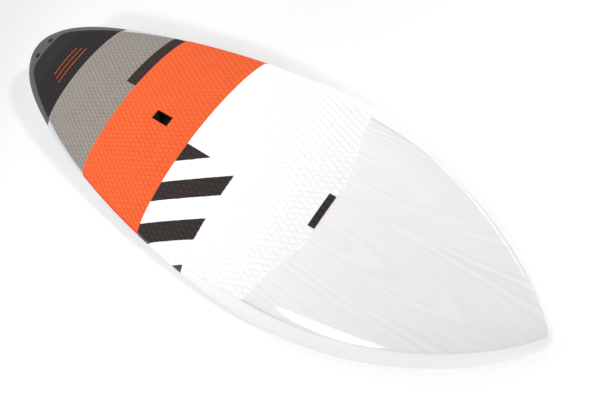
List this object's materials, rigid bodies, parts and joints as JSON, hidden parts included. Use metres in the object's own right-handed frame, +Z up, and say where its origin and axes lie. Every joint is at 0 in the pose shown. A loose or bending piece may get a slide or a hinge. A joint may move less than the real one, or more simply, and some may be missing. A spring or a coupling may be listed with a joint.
{
  "type": "stand-up paddle wave board",
  "caption": "Stand-up paddle wave board with a sandwich hull, grooved foam deck pad in colour blocks, recessed carry handle, wood-veneer nose panel, leash plugs and removable fins.",
  "frame": {"origin": "middle of the overall box at floor level, with the board lying deck up on its centre fin and its belly", "axes": "+X from tail to nose along the floor, +Y to the port rail, +Z up"},
  "size_m": [2.5372, 0.7898, 0.2756],
  "materials": {
    "hull_lacquer": "polished white lacquer on glass laminate, painted rail zones aft",
    "foam_core": "expanded polystyrene foam",
    "stringer_wood": "planed strip of light wood",
    "nose_veneer": "white-washed wood veneer under clear gloss",
    "pad_charcoal": "closed-cell foam with diamond grooves, matt",
    "pad_grey": "closed-cell foam with diamond grooves, matt",
    "pad_orange": "closed-cell foam with diamond grooves, matt",
    "pad_white": "closed-cell foam with diamond grooves, matt",
    "moulded_black": "moulded nylon, satin",
    "seal_rubber": "moulded seal",
    "stainless_steel": "turned and brushed",
    "pin_brass": "drawn rod",
    "box_white": "moulded polycarbonate",
    "fin_composite": "moulded glass-filled composite, satin gloss"
  },
  "bodies": {
    "board": {"deck_shell": "hull_lacquer", "bottom_shell": "hull_lacquer", "core_port": "foam_core", "core_starboard": "foam_core", "stringer": "stringer_wood", "nose_veneer": "nose_veneer", "tail_pad": "pad_charcoal", "tail_stripes": "pad_orange", "rear_pad": "pad_grey", "strip_inlay": "pad_charcoal", "middle_pad": "pad_orange", "front_pad": "pad_white", "bar_inlays": "pad_charcoal", "tag_inlay": "pad_charcoal", "handle_cup": "moulded_black", "vent_body": "moulded_black", "leash_plugs": "moulded_black", "leash_bars": "stainless_steel", "centre_box": "box_white", "side_boxes": "box_white", "side_fin_port": "fin_composite", "side_fin_starboard": "fin_composite", "grub_screws": "stainless_steel"},
    "centre_fin": {"centre_fin": "fin_composite", "cross_pin": "pin_brass", "fin_plate": "stainless_steel"},
    "fin_washer": {"fin_washer": "stainless_steel"},
    "fin_screw": {"fin_screw": "stainless_steel"},
    "vent_ring": {"vent_ring": "seal_rubber"},
    "vent_screw": {"vent_screw": "stainless_steel"}
  },
  "joints": [
    {"name": "fin_slide", "type": "slide", "parent": "board", "child": "centre_fin", "axis": [0.9712, 0, -0.2382], "range_m": [-0.045, 0.03]},
    {"name": "fin_screw_lift", "type": "slide", "parent": "centre_fin", "child": "fin_washer", "axis": [-0.2382, 0, -0.9712], "range_m": [0, 0.0014]},
    {"name": "fin_screw_turn", "type": "hinge", "parent": "fin_washer", "child": "fin_screw", "pos_m": [-0.93135, 0, 0.1495], "axis": [-0.2382, 0, -0.9712], "range_deg": [0, 721]},
    {"name": "vent_lift", "type": "slide", "parent": "board", "child": "vent_ring", "axis": [0.0658, 0, 0.9978], "range_m": [0, 0.002]},
    {"name": "vent_turn", "type": "hinge", "parent": "vent_ring", "child": "vent_screw", "pos_m": [-0.1473, 0, 0.11453], "axis": [0.0658, 0, 0.9978], "range_deg": [0, 721]}
  ],
  "couplings": [
    {"joint": "fin_screw_turn", "follows": "fin_screw_lift", "rad_per_m": 8976},
    {"joint": "vent_turn", "follows": "vent_lift", "rad_per_m": 6283.2}
  ]
}
